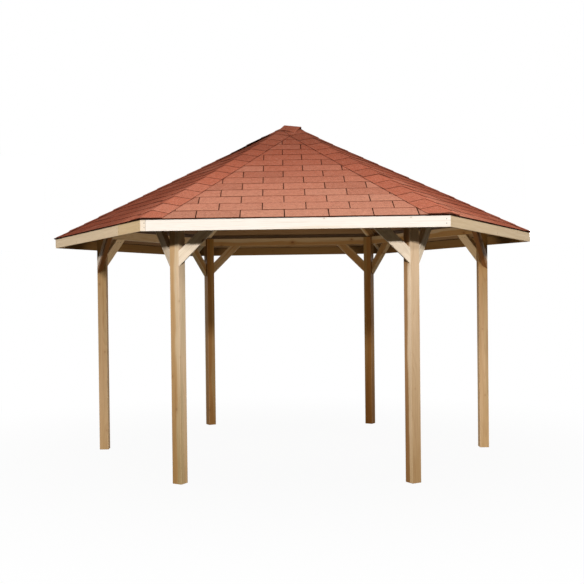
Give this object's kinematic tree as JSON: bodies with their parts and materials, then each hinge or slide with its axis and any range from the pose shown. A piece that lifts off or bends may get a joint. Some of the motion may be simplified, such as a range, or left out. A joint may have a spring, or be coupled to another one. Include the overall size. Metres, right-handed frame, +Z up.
{
  "type": "garden gazebo",
  "caption": "Open hexagonal garden gazebo: square timber posts, beams and knee braces under a hipped roof of red shingles with pale fascia boards.",
  "frame": {"origin": "middle of the six posts, at the level of their feet", "axes": "+Z up; two roof corners lie on the X axis; the front side faces -Y"},
  "size_m": [4.7346, 4.1004, 3.1842],
  "materials": {
    "post_timber": "planed, pressure-treated softwood with green-grey streaks",
    "beam_timber": "planed, pressure-treated softwood",
    "brace_timber": "planed, pressure-treated softwood",
    "rafter_timber": "planed, pressure-treated softwood",
    "board_timber": "planed tongue and groove boards",
    "fascia_timber": "planed pale softwood",
    "shingles": "matt bitumen with mineral granules"
  },
  "bodies": {
    "root": {"post_right": "post_timber", "post_back_right": "post_timber", "post_back_left": "post_timber", "post_left": "post_timber", "post_front_left": "post_timber", "post_front_right": "post_timber", "beam_back_right": "beam_timber", "beam_back": "beam_timber", "beam_back_left": "beam_timber", "beam_front_left": "beam_timber", "beam_front": "beam_timber", "beam_front_right": "beam_timber", "left_brace_back_right": "brace_timber", "left_brace_back": "brace_timber", "left_brace_back_left": "brace_timber", "left_brace_front_left": "brace_timber", "left_brace_front": "brace_timber", "left_brace_front_right": "brace_timber", "right_brace_back_right": "brace_timber", "right_brace_back": "brace_timber", "right_brace_back_left": "brace_timber", "right_brace_front_left": "brace_timber", "right_brace_front": "brace_timber", "right_brace_front_right": "brace_timber", "hip_rafter_right": "rafter_timber", "hip_rafter_back_right": "rafter_timber", "hip_rafter_back_left": "rafter_timber", "hip_rafter_left": "rafter_timber", "hip_rafter_front_left": "rafter_timber", "hip_rafter_front_right": "rafter_timber", "king_block": "rafter_timber", "roof_boards_back_right": "board_timber", "roof_boards_back": "board_timber", "roof_boards_back_left": "board_timber", "roof_boards_front_left": "board_timber", "roof_boards_front": "board_timber", "roof_boards_front_right": "board_timber", "fascia_back_right": "fascia_timber", "fascia_back": "fascia_timber", "fascia_back_left": "fascia_timber", "fascia_front_left": "fascia_timber", "fascia_front": "fascia_timber", "fascia_front_right": "fascia_timber", "shingle_roof": "shingles", "roof_cap": "shingles"}
  },
  "joints": []
}
